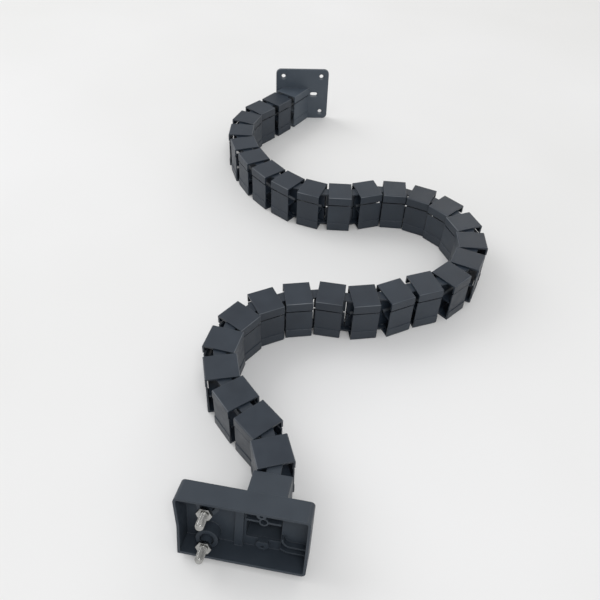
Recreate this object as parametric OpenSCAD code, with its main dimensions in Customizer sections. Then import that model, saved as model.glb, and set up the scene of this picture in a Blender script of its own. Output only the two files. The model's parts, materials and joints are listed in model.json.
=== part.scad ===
// Cable spine: a flat chain of hinged cable links between a mounting plate and a foot housing.
// Row frame: X along the plate's width, Y out of the plate's back, Z up.
// The origin is the middle of the plate's back face, and the chain lies on the floor below it.

/* [Chain] */
// Number of hinged links
link_count = 30; // [30:1:30]
// Distance between two hinge axes
pitch = 40; // [36:0.5:46]
// Link width across the chain
link_w = 37.5; // [34:0.5:38.5]
// Link height along the hinge axis
link_h = 57; // [50:0.5:64]
// Gap between the outer shells of two links in a straight chain
shell_gap = 8; // [8:0.1:9.5]
// Hinge axis behind the shell's rear edge
hinge_inset = 3; // [2.5:0.1:3.2]
// Pose on the floor, as runs of joints with the same bend: count and degrees
bend_runs = [
    [2, -4], [3, 20], [3, 11], [3, 19], [3, -21], [5, -23],
    [1, 6], [2, -17], [2, 17], [4, 25], [1, 5], [2, -25]
];

/* [Link shell] */
// Wall thickness of the shell
wall = 2.2; // [1.8:0.1:2.6]
// Outer radius of the long edges
edge_r = 1.5; // [1:0.25:3]
// Inner radius of the long edges
inner_r = 0.8; // [0.5:0.1:1.5]
// Radius of the lower front corner, seen from the side
corner_r = 3; // [2:0.5:4]
// Height of the lower edge of the cable slit
slit_z = 43; // [38:0.5:46]
// Height of the cable slit
slit_h = 2.2; // [1:0.1:2.5]
// Slope of the slit's lower lip, from the outside to the inside
lip_drop = 1.6; // [1:0.1:2]
// Height of the lower side band
band_h = 13; // [8:0.5:16]
// Depth of the recessed side panel
panel_recess = 0.7; // [0.4:0.1:1]
// Thickness of the upright web and of the shelf
web_t = 2; // [1.6:0.1:3]
// Reach of the web behind the rear hinge axis
web_reach = 6.9; // [5:0.1:7.2]
// Gap between the webs of two links
web_gap = 1.3; // [1.2:0.1:2]
// Height of the slot in the middle of the web's ends
web_slot = 3.2; // [2.4:0.1:4]
// Gap between the shelf and the side panels
shelf_gap = 1.2; // [0.8:0.1:2]
// Outer radius of the middle tube
tube_r = 4.5; // [4:0.1:6]
// Bore radius of the middle tube
tube_bore_r = 3; // [2:0.1:3.5]

/* [Hinge] */
// Width of a hinge tongue
tongue_w = 13.5; // [11:0.5:16]
// Thickness of a hinge tongue
tongue_t = 2.2; // [1.8:0.1:3]
// Clearance between a tongue and the plate above it
tongue_gap = 0.4; // [0.2:0.05:0.6]
// Radius of the hinge pins
pin_r = 2; // [1.6:0.1:2.4]
// Radial clearance of a pin in its eye
pin_clear = 0.08; // [0.04:0.01:0.1]
// Length of a tongue's root inside the shell
root_len = 6; // [5:0.5:8]

/* [Mounting plate] */
// Side of the square plate
plate_size = 90; // [80:1:110]
// Plate thickness
plate_t = 4; // [3:0.5:6]
// Corner radius of the plate
plate_r = 8; // [5:0.5:12]
// Spacing of the corner holes
hole_spacing = 65; // [60:1:70]
// Radius of the corner holes
hole_r = 3.25; // [2.5:0.05:3.5]
// Radius of the countersinks
sink_r = 5.5; // [4.5:0.1:6]
// Middle of the side slot from the plate's middle
slot_x = 20.5; // [20:0.5:26]
// Length of the side slot
slot_len = 12; // [9:0.5:14]
// Radius of the slot's ends
slot_r = 3; // [2:0.1:3.5]
// Depth of the slot's countersink
slot_sink = 2; // [1:0.1:2.5]
// First hinge axis left of the plate's middle
first_x = 26.5; // [24:0.5:28]
// First hinge axis in front of the plate
first_y = 20; // [19:0.5:24]
// Angle of the neck to the plate's normal
neck_angle = 37; // [30:1:40]

/* [Foot housing] */
// Lean of the housing against the chain
foot_lean = 17; // [12:0.5:20]
// Back of the housing from the last hinge axis
foot_back = 37.5; // [34:0.5:42]
// Housing and its neck lower than a link by
foot_drop = 1.4; // [1:0.1:2]
// Depth of the housing
foot_d = 25; // [22:0.5:30]
// Length of the housing
foot_len = 123.5; // [115:0.5:135]
// Right end of the housing from the middle of the neck
foot_right = 44; // [40:0.5:48]
// Wall thickness of the housing
foot_wall = 2.5; // [2:0.1:3]
// Corner radius of the housing
foot_r = 4.5; // [3.5:0.5:6]
// Inset of the left end at the floor
foot_taper = 4.5; // [0:0.5:6]
// Bolts left of the middle of the neck
bolt_y = 50.5; // [46:0.5:54]
// Spacing of the bolts
bolt_spacing = 41; // [40.6:0.1:41.4]
// Height of a bolt boss above the housing's back
boss_h = 15; // [12:0.5:17]
// Outer radius of a bolt boss
boss_r = 10.5; // [10.4:0.1:10.8]
// Rise of the post inside a bolt boss
post_h = 7.5; // [6:0.5:9]
// Radius of the post inside a bolt boss
post_r = 5.2; // [5:0.1:5.6]
// Radius of the bolts
bolt_r = 4; // [4:0.5:4]
// Bolt tip from the housing's back
bolt_reach = 41; // [40:0.5:44]

/* [Output] */
// Sub-part to draw

/* [Hidden] */
$fn = 64;
link_len = pitch - shell_gap;
body_x0 = shell_gap + hinge_inset;
eye_r = pin_r + pin_clear;
tongue_z = link_h - wall - tongue_gap - tongue_t;
tongue_room = wall + tongue_gap + tongue_t + 1.2;
notch_x = pitch - tongue_w / 2 - 1.2;
foot_z0 = link_h - (link_h + (foot_back - body_x0) * sin(foot_lean)) / cos(foot_lean);
neck_h = link_h - foot_drop;
foot_h = neck_h - foot_z0;
foot_y0 = foot_right - foot_len;
bolt_mid = foot_z0 + foot_h / 2;
boss_pocket = 6;
head_t = 5.3;
boss_sink_r = 6.8;
boss_sink = 3;
nut_x = foot_back + boss_h + post_h;
nut_t = 4;
nut_flat_r = 6.5;
thread_r = bolt_r - 0.1;
pitch_r = bolt_r - 0.4;
rib_y = 26.5;
rib_z = 12.4;
rib_inner_r = 8;
rib_outer_r = 15;
shelf_in = 14;
shelf_out = 8;
mouth_clear = 0.3;
low_root = 16;

// Direction of link i, from the plate's neck as link 0
bends = [for (run = bend_runs, k = [1:run[0]]) run[1]];
function heading(i) = i == 0 ? -90 - neck_angle : heading(i - 1) + bends[i - 1];

// Hinge axis between link i and link i + 1
function axis_at(i) = i == 0
    ? [-first_x, -plate_t - first_y]
    : axis_at(i - 1) + pitch * [cos(heading(i)), sin(heading(i))];

function link_name(i) = str("link_", i < 10 ? "0" : "", i);

// Stands a section drawn across the chain along X
module along(x, len) {
    translate([x, 0, 0])
        rotate([90, 0, 90])
            linear_extrude(len)
                children();
}

// Puts link i of the chain on the floor
module on_floor(i) {
    translate([axis_at(i - 1)[0], axis_at(i - 1)[1], -plate_size / 2])
        rotate([0, 0, heading(i)])
            children();
}

module rounded_rect(w, h, r) {
    translate([r, 0])
        square([w - 2 * r, h]);
    translate([0, r])
        square([w, h - 2 * r]);
    for (u = [r, w - r], v = [r, h - r])
        translate([u, v])
            circle(r = r);
}

module outer_section(h) {
    translate([-link_w / 2, 0])
        rounded_rect(link_w, h, edge_r);
}

module cavity_section(h) {
    translate([-link_w / 2 + wall, wall])
        rounded_rect(link_w - 2 * wall, h - 2 * wall, inner_r);
}

// Shell with a recessed panel and a cable slit in each side
module shell_section() {
    difference() {
        outer_section(link_h);
        cavity_section(link_h);
        for (s = [-1, 1]) {
            translate([s * link_w / 2 - panel_recess, band_h])
                square([2 * panel_recess, slit_z - band_h]);
            translate([s * (link_w / 2 - wall / 2) - wall, slit_z])
                square([2 * wall, slit_h]);
            // lower lip, sloping down to the inside
            polygon([
                [s * (link_w / 2 - panel_recess), slit_z],
                [s * (link_w / 2 - 2 * wall + panel_recess), slit_z - 2 * lip_drop],
                [s * (link_w / 2 - 2 * wall + panel_recess), slit_z + slit_h / 2],
                [s * (link_w / 2 - panel_recess), slit_z + slit_h / 2]
            ]);
        }
    }
}

// Shelf and middle tube
module shelf_section() {
    difference() {
        union() {
            translate([-link_w / 2 + wall + shelf_gap, link_h / 2 - web_t / 2])
                square([link_w - 2 * wall - 2 * shelf_gap, web_t]);
            translate([0, link_h / 2])
                circle(r = tube_r);
        }
        translate([0, link_h / 2])
            circle(r = tube_bore_r);
    }
}

// Copies an upper hinge feature to the lower side
module both_sides() {
    children();
    translate([0, 0, link_h])
        mirror([0, 0, 1])
            children();
}

// Tongue with its eye on the hinge axis at X = 0
module tongue(root, root_h) {
    translate([0, 0, tongue_z])
        linear_extrude(tongue_t)
            difference() {
                union() {
                    circle(r = tongue_w / 2);
                    translate([0, -tongue_w / 2])
                        square([body_x0 + root, tongue_w]);
                }
                circle(r = eye_r);
            }
    translate([body_x0, -tongue_w / 2, tongue_z])
        cube([root, tongue_w, root_h]);
}

// Pin under the cover plate at the rear hinge axis
module pin() {
    translate([pitch, 0, tongue_z - 0.8])
        cylinder(r1 = pin_r - 0.3, r2 = pin_r, h = 0.4);
    translate([pitch, 0, tongue_z - 0.4])
        cylinder(r = pin_r, h = tongue_t + tongue_gap + 0.4 + wall / 2);
}

// Upright web in side view: it reaches into the gaps at both ends, is slotted there in the middle,
// and leaves room for the tongues of the next link
module web_profile(x, len) {
    x_front = x - (body_x0 - web_reach - web_gap);
    x_rear = pitch + web_reach;
    difference() {
        union() {
            translate([x, wall / 2])
                square([len, link_h - wall]);
            translate([x_front, tongue_room])
                square([x_rear - x_front, link_h - 2 * tongue_room]);
        }
        for (z = [wall, link_h - tongue_room])
            translate([notch_x, z])
                square([pitch, tongue_room - wall]);
        translate([x, link_h / 2 - tube_bore_r])
            square([len, 2 * tube_bore_r]);
        for (u = [x_front - 1, x + len])
            translate([u, (link_h - web_slot) / 2])
                square([pitch / 4, web_slot]);
    }
}

// Hollow rear end shared by the links and the plate's neck
module hollow(x, len) {
    along(x, len)
        shell_section();
    along(x, len)
        shelf_section();
    translate([0, web_t / 2, 0])
        rotate([90, 0, 0])
            linear_extrude(web_t)
                web_profile(x, len);
    both_sides()
        pin();
}

module spine_link() {
    color([0.2, 0.21, 0.23]) {
        difference() {
            hollow(body_x0, link_len);
            // lower front corner of the shell
            difference() {
                translate([body_x0 - 1, -link_w, -1])
                    cube([corner_r + 1, 2 * link_w, corner_r + 1]);
                translate([body_x0 + corner_r, link_w + 1, corner_r])
                    rotate([90, 0, 0])
                        cylinder(r = corner_r, h = 2 * link_w + 2);
            }
        }
        both_sides()
            tongue(root_len, tongue_t + tongue_gap + wall / 2);
    }
}

module plate_hole(r) {
    rotate([90, 0, 0])
        translate([0, 0, -1])
            cylinder(r = r, h = plate_t + 2);
}

module mounting_plate() {
    color([0.2, 0.21, 0.23])
        difference() {
            union() {
                rotate([90, 0, 0])
                    linear_extrude(plate_t)
                        translate([-plate_size / 2, -plate_size / 2])
                            rounded_rect(plate_size, plate_size, plate_r);
                intersection() {
                    translate([-first_x, -plate_t - first_y, -plate_size / 2])
                        rotate([0, 0, heading(0)])
                            translate([-pitch, 0, 0])
                                hollow(hinge_inset - pitch, 2 * pitch);
                    translate([-plate_size, -plate_size - plate_t + 0.5, -plate_size])
                        cube([2 * plate_size, plate_size, 2 * plate_size]);
                }
            }
            // cable window through the plate, in line with the neck
            intersection() {
                translate([-first_x, -plate_t - first_y, -plate_size / 2])
                    rotate([0, 0, heading(0)])
                        along(-2 * pitch, 2 * pitch)
                            cavity_section(link_h);
                translate([-plate_size, -plate_t, -plate_size])
                    cube([2 * plate_size, 2 * plate_t, 2 * plate_size]);
            }
            for (x = [-1, 1], z = [-1, 1])
                translate([x * hole_spacing / 2, 0, z * hole_spacing / 2]) {
                    plate_hole(hole_r);
                    translate([0, -plate_t - 0.01, 0])
                        rotate([-90, 0, 0])
                            cylinder(r1 = sink_r, r2 = hole_r, h = sink_r - hole_r);
                }
            for (s = [-1, 1])
                translate([slot_x + s * (slot_len / 2 - slot_r), 0, 0]) {
                    plate_hole(slot_r);
                    translate([0, -plate_t - 0.01, 0])
                        rotate([-90, 0, 0])
                            cylinder(r1 = slot_r + slot_sink, r2 = slot_r, h = slot_sink);
                }
            along(slot_x - slot_len / 2 + slot_r, slot_len - 2 * slot_r) {
                translate([-plate_t - 1, -slot_r])
                    square([plate_t + 2, 2 * slot_r]);
                polygon([
                    [-plate_t - 0.01, -slot_r - slot_sink],
                    [-plate_t - 0.01 + slot_sink, -slot_r],
                    [-plate_t - 0.01 + slot_sink, slot_r],
                    [-plate_t - 0.01, slot_r + slot_sink]
                ]);
            }
        }
}

// Tips the housing back about the upper front edge of its neck
module leaning() {
    translate([body_x0, 0, link_h])
        rotate([0, -foot_lean, 0])
            translate([-body_x0, 0, -link_h])
                children();
}

// Outline of the housing, drawn inwards by an inset, with a tapering left end
module foot_outline(inset) {
    difference() {
        translate([foot_y0 + inset, foot_z0 + inset])
            rounded_rect(foot_len - 2 * inset, foot_h - 2 * inset, foot_r - inset);
        polygon([
            [foot_y0 - 1, foot_z0 - 1],
            [foot_y0 + foot_taper + inset, foot_z0 - 1],
            [foot_y0 + 0.8 * foot_taper + inset, foot_z0 + 0.5 * foot_h],
            [foot_y0 + inset, foot_z0 + foot_h - foot_r - 1],
            [foot_y0 - 1, foot_z0 + foot_h - foot_r - 1]
        ]);
    }
}

// Section of a rib that turns from the neck towards the right end
module guide_rib_section(r) {
    intersection() {
        difference() {
            translate([rib_y, rib_z])
                circle(r = r + 0.8);
            translate([rib_y, rib_z])
                circle(r = r - 0.8);
        }
        translate([link_w / 2 - wall + 0.2, rib_z - 2 * r])
            square([rib_y - link_w / 2 + wall - 0.2, 2 * r]);
    }
    translate([rib_y, rib_z - r - 0.8])
        square([foot_right - foot_wall / 2 - rib_y, 1.6]);
}

module boss_spots() {
    for (s = [-1, 1])
        translate([0, -bolt_y, bolt_mid + s * bolt_spacing / 2])
            children();
}

module hexagon(r) {
    polygon([for (k = [0:5]) r / cos(30) * [cos(60 * k), sin(60 * k)]]);
}

module foot_shell() {
    difference() {
        union() {
            difference() {
                along(foot_back, foot_d)
                    foot_outline(0);
                along(foot_back + foot_wall, foot_d)
                    foot_outline(foot_wall);
            }
            boss_spots() {
                difference() {
                    along(foot_back + 1, boss_h - 1)
                        circle(r = boss_r);
                    along(foot_back + boss_h - boss_sink, boss_sink + 1)
                        circle(r = boss_sink_r);
                }
                along(foot_back + 1, boss_h + post_h - 1)
                    circle(r = post_r);
            }
            // screw bosses below and above the neck's mouth
            along(foot_back + 1, 6)
                translate([0, -1.5])
                    circle(r = 6);
            intersection() {
                along(foot_back + 1, foot_d - 2)
                    translate([0, neck_h - 3])
                        circle(r = 4.5);
                along(foot_back, foot_d)
                    foot_outline(0.5);
            }
            // raised band left of the neck's mouth
            translate([foot_back + 1, -link_w / 2 - 8, foot_z0 + 1])
                cube([5, 8, foot_h - 2]);
            for (r = [rib_inner_r, rib_outer_r])
                along(foot_back + 1, 8)
                    guide_rib_section(r);
        }
        boss_spots() {
            along(foot_back - 1, boss_h + post_h + 2)
                circle(r = bolt_r + 0.25);
            along(foot_back - 1, boss_pocket + 1)
                circle(r = 8);
        }
        along(foot_back + 3, foot_d)
            translate([0, -3.5])
                circle(r = 1.6);
        along(foot_back + 3, foot_d)
            translate([0, neck_h - 4.2])
                circle(r = 1.6);
        along(foot_back - 1, 8)
            cavity_section(neck_h);
    }
}

// Closed walls between the last hinge and the housing's back
module neck_walls() {
    intersection() {
        leaning()
            along(body_x0 - pitch, foot_back - body_x0 + pitch)
                difference() {
                    outer_section(neck_h);
                    cavity_section(neck_h);
                }
        translate([body_x0, -link_w, 0])
            cube([2 * pitch, 2 * link_w, 2 * link_h]);
    }
}

// Shelf and tube of a given half width, with the tube's bore left open
module neck_shelf(x, len, half_w) {
    along(x, len)
        difference() {
            union() {
                translate([-half_w, link_h / 2 - web_t / 2])
                    square([2 * half_w, web_t]);
                translate([0, link_h / 2])
                    circle(r = tube_r);
            }
            translate([0, link_h / 2])
                circle(r = tube_bore_r);
        }
}

module foot_neck() {
    color([0.2, 0.21, 0.23])
        on_floor(link_count + 1) {
            neck_walls();
            leaning() {
                neck_shelf(foot_back - shelf_in, shelf_in, link_w / 2 - wall / 2);
                neck_shelf(foot_back - shelf_in, shelf_in + shelf_out, link_w / 2 - wall - mouth_clear);
            }
            tongue(root_len, tongue_t + tongue_gap + wall / 2 + 0.3 - foot_drop);
            translate([0, 0, link_h])
                mirror([0, 0, 1])
                    tongue(low_root, tongue_t + tongue_gap + wall);
        }
}

module foot_housing() {
    color([0.2, 0.21, 0.23])
        on_floor(link_count + 1)
            leaning()
                foot_shell();
}

module foot_bolts() {
    color([0.75, 0.76, 0.78])
        on_floor(link_count + 1)
            leaning()
                boss_spots() {
                    along(foot_back + boss_pocket - head_t, head_t)
                        hexagon(nut_flat_r);
                    along(foot_back + boss_pocket - 1, nut_x - foot_back - boss_pocket + 1)
                        circle(r = thread_r);
                    // inside the nut, at the radius where both threads meet
                    along(nut_x - 1, nut_t + 2)
                        circle(r = pitch_r);
                    // free end
                    along(nut_x + nut_t, foot_back + bolt_reach - 1 - nut_x - nut_t)
                        circle(r = thread_r);
                    translate([foot_back + bolt_reach - 1, 0, 0])
                        rotate([0, 90, 0])
                            cylinder(r1 = thread_r, r2 = thread_r - 0.8, h = 1);
                }
}

module foot_nuts() {
    color([0.78, 0.79, 0.8])
        on_floor(link_count + 1)
            leaning()
                boss_spots()
                    along(nut_x, nut_t)
                        difference() {
                            hexagon(nut_flat_r);
                            circle(r = pitch_r);
                        }
}

mounting_plate();
for (i = [1:link_count])
    on_floor(i) spine_link();
foot_neck();
foot_housing();
foot_bolts();
foot_nuts();
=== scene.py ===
# %% [markdown]
# A cable spine leads the cables of a desk down to the floor. It is a chain of hollow plastic links,
# each hinged to the next, between a square plate that is screwed to the desk and an open foot
# housing with two stud bolts. The CAD model holds every rigid shape of it in metres, in one frame:
# X along the plate, Y out of the plate's back, Z up. We load it as it is and never move it.
# Blender adds what a CAD solid can't show: the light, the moulded plastic, the threads.

# %% Load the CAD frame
import json
import math

import bmesh
import bpy
from mathutils import Matrix, Vector


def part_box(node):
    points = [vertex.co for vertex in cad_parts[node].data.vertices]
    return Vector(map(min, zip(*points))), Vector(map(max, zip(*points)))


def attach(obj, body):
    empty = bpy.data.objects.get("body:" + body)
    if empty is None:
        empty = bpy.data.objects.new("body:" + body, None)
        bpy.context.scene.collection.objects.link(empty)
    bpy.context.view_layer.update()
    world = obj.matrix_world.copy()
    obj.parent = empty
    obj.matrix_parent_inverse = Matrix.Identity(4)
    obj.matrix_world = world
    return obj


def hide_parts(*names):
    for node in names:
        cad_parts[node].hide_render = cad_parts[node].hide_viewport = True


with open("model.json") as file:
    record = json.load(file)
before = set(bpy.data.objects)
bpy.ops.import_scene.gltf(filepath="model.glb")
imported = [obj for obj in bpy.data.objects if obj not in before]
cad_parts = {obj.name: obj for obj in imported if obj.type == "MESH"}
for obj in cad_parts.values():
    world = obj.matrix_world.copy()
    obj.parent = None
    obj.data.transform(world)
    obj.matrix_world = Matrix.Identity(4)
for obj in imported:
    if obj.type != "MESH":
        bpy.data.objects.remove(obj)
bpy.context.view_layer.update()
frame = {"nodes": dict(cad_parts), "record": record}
scene = bpy.context.scene
nodes = frame["nodes"]
link_count = sum(name.startswith("link_") for name in nodes)
floor_z = min(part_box(name)[0].z for name in nodes)
print(len(nodes), "CAD nodes,", link_count, "of them links, floor at", round(floor_z, 4))

# %% [markdown]
# The photograph was taken from standing height, looking down on a chain that lies on a white sheet.
# A camera in Blender looks along its own -Z, with +Y up in the picture. We could aim it with a
# Track To constraint, but the picture is also tilted a little, so we build the three axes ourselves:
# first the direction from pitch and yaw, then a small roll about it. The lens follows from the
# focal length in pixels, because a 36 mm wide sensor is spread over 600 pixels.

# %% Camera
def camera_axes(pitch, yaw, roll):
    forward = Vector((
        math.sin(yaw) * math.cos(pitch),
        math.cos(yaw) * math.cos(pitch),
        -math.sin(pitch),
    ))
    level = forward.cross(Vector((0, 0, 1))).normalized()
    above = level.cross(forward)
    right = math.cos(roll) * level + math.sin(roll) * above
    return right, right.cross(forward), -forward


photo_width = 600
focal_pixels = 663.7
camera_place = (-0.0535, -1.0834, 0.5569)
camera_pitch, camera_yaw, camera_roll = 44.47, 3.5, 2.53
camera_data = bpy.data.cameras.new("photo_camera")
camera_data.sensor_width = 36
camera_data.lens = focal_pixels / photo_width * camera_data.sensor_width
camera_data.clip_start = 0.01
camera = bpy.data.objects.new("photo_camera", camera_data)
axes = camera_axes(*(math.radians(angle) for angle in (camera_pitch, camera_yaw, camera_roll)))
camera.matrix_world = Matrix.Translation(camera_place) @ Matrix(axes).transposed().to_4x4()
scene.collection.objects.link(camera)
scene.camera = camera
print("camera", [round(v, 3) for v in camera.location], "lens", round(camera_data.lens, 2))

# %% [markdown]
# Every finish below is a small network of shader nodes. Image textures would need a file and a flat
# unwrapping of each mesh, so we use noise in the object's own coordinates instead: it has a real
# size in metres and stays put when a link turns. These helpers keep a network readable. One adds a
# node, one feeds a socket with a number or with another node, and the others remap a value, mix two
# colours, or raise a fine relief.

# %% Helpers for materials
def new_material(name):
    material = bpy.data.materials.new(name)
    material.use_nodes = True
    tree = material.node_tree
    return material, tree, tree.nodes["Principled BSDF"]


def add_node(tree, kind, **settings):
    node = tree.nodes.new("ShaderNode" + kind)
    for key, value in settings.items():
        if hasattr(node, key):
            setattr(node, key, value)
        else:
            node.inputs[key.replace("_", " ")].default_value = value
    return node


def feed(tree, socket, value):
    if isinstance(value, bpy.types.NodeSocket):
        tree.links.new(value, socket)
    else:
        socket.default_value = value


def object_noise(tree, scale, detail):
    coordinates = add_node(tree, "TexCoord")
    noise = add_node(tree, "TexNoise", Scale=scale, Detail=detail, Roughness=0.5)
    tree.links.new(coordinates.outputs["Object"], noise.inputs["Vector"])
    return noise.outputs["Fac"]


def spread(tree, value, low, high, start=0.3, end=0.7):
    remap = add_node(tree, "MapRange")
    sockets = ("From Min", "From Max", "To Min", "To Max", "Value")
    for socket, number in zip(sockets, (start, end, low, high, value)):
        feed(tree, remap.inputs[socket], number)
    return remap.outputs["Result"]


def combine(tree, operation, *values):
    node = add_node(tree, "Math", operation=operation)
    for socket, value in zip(node.inputs, values):
        feed(tree, socket, value)
    return node.outputs[0]


def tint(tree, factor, dark, light):
    mix = add_node(tree, "Mix", data_type="RGBA")
    tree.links.new(factor, mix.inputs[0])
    for index, colour in ((6, dark), (7, light)):
        feed(tree, mix.inputs[index], (*colour, 1) if isinstance(colour, tuple) else colour)
    return mix.outputs[2]


def relief(tree, shader, scale, strength, distance, normal=None):
    bump = add_node(tree, "Bump", Strength=strength, Distance=distance)
    tree.links.new(object_noise(tree, scale, 2), bump.inputs["Height"])
    if normal is not None:
        tree.links.new(normal, bump.inputs["Normal"])
    tree.links.new(bump.outputs["Normal"], shader.inputs["Normal"])


print("material helpers ready")

# %% [markdown]
# The floor is a wide sheet of white paper or film: nearly even, with very slow changes of tone and
# a few soft dents. A plain white plane would do for the light, but a real sheet is never perfectly
# even, so one slow noise shifts its tone by a few percent, and a second one bends the normal. The
# floor isn't part of the object.

# %% Floor
def white_sheet():
    material, tree, shader = new_material("white_sheet")
    tone = spread(tree, object_noise(tree, 1.6, 3), 0, 1)
    sheet = tint(tree, tone, (0.80, 0.80, 0.79), (0.86, 0.86, 0.86))
    tree.links.new(sheet, shader.inputs["Base Color"])
    shader.inputs["Roughness"].default_value = 0.75
    shader.inputs["Specular IOR Level"].default_value = 0.2
    relief(tree, shader, scale=3.0, strength=0.25, distance=0.01)
    return material


floor_half = 4.0
floor_corners = [(x * floor_half, y * floor_half, 0) for x, y in ((-1, -1), (1, -1), (1, 1), (-1, 1))]
floor_mesh = bpy.data.meshes.new("floor_sheet")
floor_mesh.from_pydata(floor_corners, [], [(0, 1, 2, 3)])
floor_mesh.materials.append(white_sheet())
floor = bpy.data.objects.new("floor_sheet", floor_mesh)
floor.location = (0, -0.4, floor_z)
scene.collection.objects.link(floor)
print("floor", 2 * floor_half, "m wide")

# %% [markdown]
# The photograph has no hard shadow: light falls from all over a bright room, and a little more from
# behind and to the left, so the soft shadows lean to the right and towards us. A pale world gives the
# even part. One very large area lamp gives the direction. A smaller one, high in front, reaches into
# the open housing and draws a thin line of light on the rounded upper edges. A third, far behind to
# the right, is mirrored in the tops of the links there, which are paler than the near ones. Standard
# view transform keeps white paper white, as a camera's own picture does, and a gamma just above one
# lifts the dark plastic without changing the white.

# %% Light
def softbox(name, location, size, watts, colour=(1, 1, 1)):
    data = bpy.data.lights.new(name, "AREA")
    data.shape = "RECTANGLE"
    data.size, data.size_y = size
    data.energy = watts
    data.color = colour
    lamp = bpy.data.objects.new(name, data)
    lamp.location = location
    towards = Vector((0.0, -0.4, floor_z)) - Vector(location)
    lamp.rotation_euler = towards.to_track_quat("-Z", "Y").to_euler()
    scene.collection.objects.link(lamp)


world = bpy.data.worlds.new("bright_room")
world.use_nodes = True
room = world.node_tree.nodes["Background"]
room.inputs["Color"].default_value = (0.985, 0.99, 1.0, 1)
room.inputs["Strength"].default_value = 0.61
scene.world = world
softbox("window_lamp", (-2.6, 1.2, 2.4), (2.6, 2.6), 52)
softbox("front_lamp", (0.3, -2.2, 2.8), (1.0, 0.8), 26)
softbox("far_window", (1.9, 2.6, 1.4), (1.8, 0.8), 15, colour=(1.0, 0.94, 0.86))
scene.view_settings.view_transform = "Standard"
scene.view_settings.gamma = 1.08

# %% [markdown]
# Moulded edges are the first to be rubbed pale, and edges also catch light, so the pale colour painted
# at the edges is partly real wear and partly a painted highlight. A CAD edge is perfectly sharp and
# catches no light, so a Bevel node rounds the normal there, and where it differs from the true normal we
# have an edge.
# The long upper edges are rounded in the CAD model itself, so there we take the faces that look neither
# up nor sideways and paint a thin highlight line on them, but not in the housing, whose round bosses also
# have such faces. Painting the edges by hand would be closer to one real chain, but a rule like this also
# holds for every other size of it.

# %% Rubbed edges and painted edge highlights
def edge_wear_and_highlight(tree, radius, fillets):
    rounded = add_node(tree, "Bevel", samples=6, Radius=radius)
    surface = add_node(tree, "NewGeometry")
    agree = add_node(tree, "VectorMath", operation="DOT_PRODUCT")
    tree.links.new(rounded.outputs["Normal"], agree.inputs[0])
    tree.links.new(surface.outputs["Normal"], agree.inputs[1])
    worn_and_highlit = spread(tree, agree.outputs["Value"], 0.6, 0, 0.72, 0.995)
    # On the rounded long upper edges the pale colour is a painted highlight line, not wear.
    if fillets:
        facing = add_node(tree, "SeparateXYZ")
        tree.links.new(surface.outputs["True Normal"], facing.inputs[0])
        upward = facing.outputs["Z"]
        not_side = spread(tree, upward, 0, 1, 0.40, 0.60)
        not_top = spread(tree, upward, 1, 0, 0.90, 0.95)
        worn_and_highlit = combine(tree, "MAXIMUM", worn_and_highlit, combine(tree, "MULTIPLY", not_side, not_top))
    return rounded.outputs["Normal"], worn_and_highlit


edge_radius = 0.0007
# Pale edge colour: partly real wear, partly a painted highlight.
worn_and_highlit_edge = (0.130, 0.144, 0.162)
print("edges rubbed over", round(1000 * edge_radius, 2), "mm")

# %% [markdown]
# Links, plate and housing are injection-moulded in charcoal plastic with a satin, faintly grained skin.
# Its colour is nearly black with a touch of blue, and most of what we see on a flat top is the room
# mirrored very softly. One function makes the skin, and it needs three things. First, a fine grain as
# bump, because a mould is spark-eroded. Second, slow changes of roughness and tone, where hands and the
# mould's flow left their traces; each link also gets its own slight tone from Object Info. Third, the
# pale edges, partly real wear and partly a painted highlight, with a slow noise that keeps them uneven
# along the chain.

# %% Charcoal plastic
def charcoal_plastic(name, dark, light, rough, gloss, fillets=True):
    material, tree, shader = new_material(name)
    normal, worn_and_highlit = edge_wear_and_highlight(tree, edge_radius, fillets)
    own_tone = add_node(tree, "ObjectInfo").outputs["Random"]
    mottle = spread(tree, object_noise(tree, 45, 4), 0, 0.6)
    skin = tint(tree, combine(tree, "MULTIPLY_ADD", own_tone, 0.4, mottle), dark, light)
    uneven = spread(tree, object_noise(tree, 22, 4), 0.1, 1.0)
    # Mixes in the pale edge colour: partly wear, partly a painted highlight.
    skin_worn_and_highlit = tint(tree, combine(tree, "MULTIPLY", worn_and_highlit, uneven), skin, worn_and_highlit_edge)
    tree.links.new(skin_worn_and_highlit, shader.inputs["Base Color"])
    handled = spread(tree, object_noise(tree, 90, 5), rough - 0.05, rough + 0.08)
    tree.links.new(handled, shader.inputs["Roughness"])
    shader.inputs["Specular IOR Level"].default_value = gloss
    relief(tree, shader, scale=1500, strength=0.12, distance=0.0002, normal=normal)
    return material


print("charcoal plastic ready")

# %% [markdown]
# The plate and the housing get paler copies of the link plastic, and the paleness is painted light: on
# the plate it stands for the brighter light on its face, in the housing it lifts the deep shade of its
# hollow. The housing's copy is also duller, so each gets its own colours, roughness and gloss. The CAD
# nodes keep their shapes and only change material.

# %% Link skin, and plate and housing skins painted paler
link_skin = charcoal_plastic(
    "charcoal_link_skin", (0.0095, 0.0155, 0.0250), (0.019, 0.028, 0.041),
    rough=0.44, gloss=0.40,
)
# Paler copy of the plastic: painted light for the brighter light on the plate's face.
plate_skin_painted_lighter = charcoal_plastic(
    "charcoal_plate_skin", (0.044, 0.058, 0.076), (0.060, 0.076, 0.096),
    rough=0.47, gloss=0.42,
)
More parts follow.
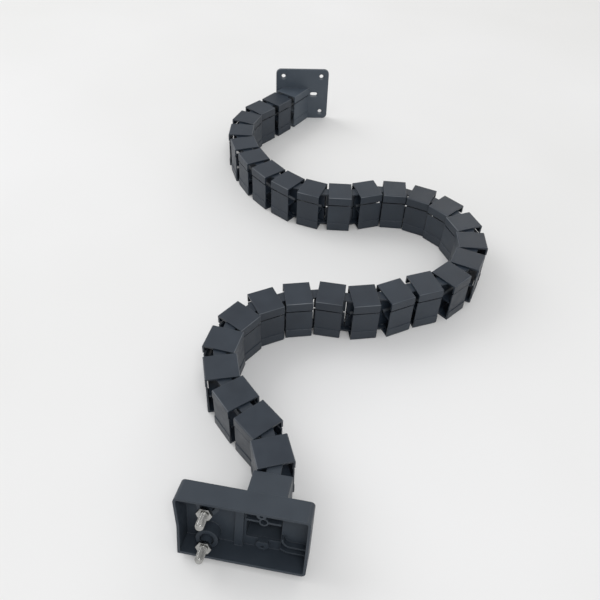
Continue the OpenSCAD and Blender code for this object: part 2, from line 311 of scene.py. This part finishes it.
# Paler copy of the plastic: painted light that lifts the shade inside the housing's hollow.
housing_skin_painted_lighter = charcoal_plastic(
    "charcoal_housing_skin", (0.025, 0.033, 0.044), (0.035, 0.045, 0.058),
    rough=0.48, gloss=0.24, fillets=False,
)
painted_lighter_skins = {"mounting_plate": plate_skin_painted_lighter, "foot_neck": housing_skin_painted_lighter, "foot_housing": housing_skin_painted_lighter}
moulded_names = sorted(name for name in nodes if name not in ("foot_bolts", "foot_nuts"))
for name in moulded_names:
    nodes[name].data.materials.clear()
    nodes[name].data.materials.append(painted_lighter_skins.get(name, link_skin))
print("plastic on", len(moulded_names), "nodes")

# %% [markdown]
# Bolts, nuts and flaps are all made the same way: rings of points, one after another, joined by a skin
# of four-sided faces. Blender's Screw modifier or a bevelled curve could do parts of it, but rings take
# any section. The CAD record gives each stud's place and direction, so we also need the matrix that
# lays a ring's own Z along that axis. At the end each mesh becomes a piece that rides on its body.

# %% Rings, skins and pieces
studs = [m for m in frame["record"]["mounts"] if m["name"].startswith("stud_")]


def stud_matrix(stud):
    axis = Vector(stud["axis"]).normalized()
    side = Vector((0, 0, 1)).cross(axis).normalized()
    turn = Matrix((side, axis.cross(side), axis)).transposed().to_4x4()
    return Matrix.Translation(stud["pos_m"]) @ turn


def ring_point(radius, angle, z):
    return (radius * math.cos(angle), radius * math.sin(angle), z)


def ring_skin(mesh, rings, place, capped=True):
    rows = [[mesh.verts.new(place @ Vector(point)) for point in ring] for ring in rings]
    for lower, upper in zip(rows, rows[1:]):
        for k in range(len(lower)):
            n = (k + 1) % len(lower)
            mesh.faces.new((lower[k], lower[n], upper[n], upper[k]))
    if capped:
        mesh.faces.new(rows[0])
        mesh.faces.new(rows[-1])


def finish_piece(name, mesh, material, body, node=None):
    bmesh.ops.recalc_face_normals(mesh, faces=mesh.faces)
    data = bpy.data.meshes.new(name)
    mesh.to_mesh(data)
    mesh.free()
    data.materials.append(material)
    piece = bpy.data.objects.new(name, data)
    scene.collection.objects.link(piece)
    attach(piece, body)
    if node:
        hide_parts(node)
    print(name, len(data.polygons), "faces, box", [round(v, 4) for v in piece.dimensions])


print("studs:", [stud["name"] for stud in studs])

# %% [markdown]
# Bolts and nuts are zinc-plated steel, bright but not polished. A metal has no colour of its own beside
# its mirror image, so Metallic is one and the base colour sets how strongly it mirrors. Noise at two
# sizes varies that and the roughness, as plating does, and a very fine relief stands for scratches.

# %% Bright zinc
def zinc_steel():
    material, tree, shader = new_material("bright_zinc")
    tone = spread(tree, object_noise(tree, 220, 4), 0, 1)
    plating = tint(tree, tone, (0.27, 0.27, 0.26), (0.48, 0.48, 0.465))
    tree.links.new(plating, shader.inputs["Base Color"])
    shader.inputs["Metallic"].default_value = 1
    tree.links.new(spread(tree, object_noise(tree, 500, 3), 0.12, 0.24), shader.inputs["Roughness"])
    relief(tree, shader, scale=2200, strength=0.1, distance=0.0001)
    return material


zinc = zinc_steel()
print("finish", zinc.name)

# %% [markdown]
# The two bolts carry a rolled M8 thread, and that is the one place where the plain CAD cylinder is
# too simple: its ridges catch the light in the photograph. A bump would show no ridges in the outline,
# so they are real: around the bolt by angle, along it by height, with a radius that rises and falls
# once per pitch and is shifted by the angle, which makes the ridge a helix. The last millimetre
# narrows, as a bolt's lead-in does.

# %% Thread
thread_pitch = 0.00125
crest, root = 0.0039, 0.00345
lead_in, lead_in_loss = 0.0012, 0.18


def thread_rings(start, end, around=40, per_pitch=8):
    count = round((end - start) / thread_pitch * per_pitch)
    rings = []
    for i in range(count + 1):
        z = start + (end - start) * i / count
        narrowing = 1 - lead_in_loss * (1 - min(1.0, (end - z) / lead_in))
        ring = []
        for k in range(around):
            phase = (z / thread_pitch - k / around) % 1.0
            ridge = min(1.0, max(0.0, 1.6 * (1 - abs(2 * phase - 1)) - 0.3))
            radius = (root + (crest - root) * ridge) * narrowing
            ring.append(ring_point(radius, 2 * math.pi * k / around, z))
        rings.append(ring)
    return rings


print("thread", round(2000 * crest, 2), "mm over its crests")

# %% [markdown]
# A bolt's head and a nut are hexagons whose corners are turned off, so the flats end in arcs. A Bevel
# modifier would cut straight chamfers. We get the arcs by lowering the rim where the hexagon reaches
# beyond the chamfer circle: the further a corner sticks out, the lower its rim.

# %% Hexagons with turned-off corners
flat_half = 0.0065
chamfer_circle = 0.96 * flat_half
chamfer_slope = math.tan(math.radians(30))


def hex_rings(low, high, bore, chamfer_high=True, around=72):
    angles = [2 * math.pi * k / around for k in range(around)]

    def circle(radius, z):
        return [ring_point(radius, angle, z) for angle in angles]

    def hexagon(z, way):
        ring = []
        for angle in angles:
            reach = flat_half / math.cos(angle % (math.pi / 3) - math.pi / 6)
            drop = max(0, reach - chamfer_circle) * chamfer_slope
            ring.append(ring_point(reach, angle, z + way * drop))
        return ring

    return [
        circle(bore, low), circle(chamfer_circle, low), hexagon(low, 1),
        hexagon(high, -1 if chamfer_high else 0), circle(chamfer_circle, high), circle(bore, high),
    ]


print("hexagons", 2000 * flat_half, "mm across the flats")

# %% [markdown]
# Now the bolts themselves. The record's stud is only the free end beyond the nut, with its middle as
# the origin, so all heights count from there: the tip just beyond half its length, and the head far
# below, in its pocket at the housing's back. The head's under side is flat, so only its top is chamfered.

# %% Bolts
free_half = studs[0]["dims"]["length_mm"] / 2000
under_head = -free_half - 0.0205
head_height = 0.0053
bolt_tip = free_half + 0.001
bolt_mesh = bmesh.new()
for stud in studs:
    ring_skin(bolt_mesh, thread_rings(under_head, bolt_tip), stud_matrix(stud))
    head_rings = hex_rings(under_head - head_height, under_head, bore=0.0030, chamfer_high=False)
    ring_skin(bolt_mesh, head_rings, stud_matrix(stud))
finish_piece("foot_bolt_pair", bolt_mesh, zinc, "foot", "foot_bolts")

# %% [markdown]
# The nuts are of the thin kind, and each sits on the post of its boss, where the stud's free end
# begins. A nut has no end faces: its last ring is joined to its first, along the bore.

# %% Nuts
nut_height = 0.004
nut_rings = hex_rings(-free_half - nut_height, -free_half, bore=0.0036)
nut_mesh = bmesh.new()
for stud in studs:
    ring_skin(nut_mesh, nut_rings + nut_rings[:1], stud_matrix(stud), capped=False)
bmesh.ops.remove_doubles(nut_mesh, verts=nut_mesh.verts, dist=1e-7)
finish_piece("foot_nut_pair", nut_mesh, zinc, "foot", "foot_nuts")

# %% [markdown]
# A cable is pressed into a link through a slit in its side, and a soft flap behind the slit closes it
# again. In the links the upright web already keeps the slit dark. In the plate's neck we would look
# through the slit and the cable window at the white floor, so here each side gets its flap: a thin
# blade that hangs from the wall above the slit, with a thicker lip. A plane would show no lip, so we
# draw its section and pull it along the neck, from inside the cable window to the neck's open end.

# %% Flaps in the plate's neck
neck_turn = Matrix.Rotation(math.radians(-127), 4, "Z")
neck_place = Matrix.Translation((-0.0265, -0.024, -0.045)) @ neck_turn @ Matrix.Scale(0.001, 4)
flap_section = [
    (16.55, 47.2), (16.05, 46.8), (15.95, 43.6), (15.75, 41.0), (15.8, 40.5),
    (16.15, 40.4), (16.3, 40.9), (16.4, 43.4), (16.45, 45.6), (16.55, 45.9),
]
flap_starts = {1: -40.0, -1: -15.5}
neck_end = 2.4
flap_steps = 8
flap_mesh = bmesh.new()
for side, start in flap_starts.items():
    stations = [start + (neck_end - start) * step / flap_steps for step in range(flap_steps + 1)]
    rings = [[(along, side * across, up) for across, up in flap_section] for along in stations]
    ring_skin(flap_mesh, rings, neck_place)
finish_piece("neck_slit_flaps", flap_mesh, link_skin, "mounting_plate")
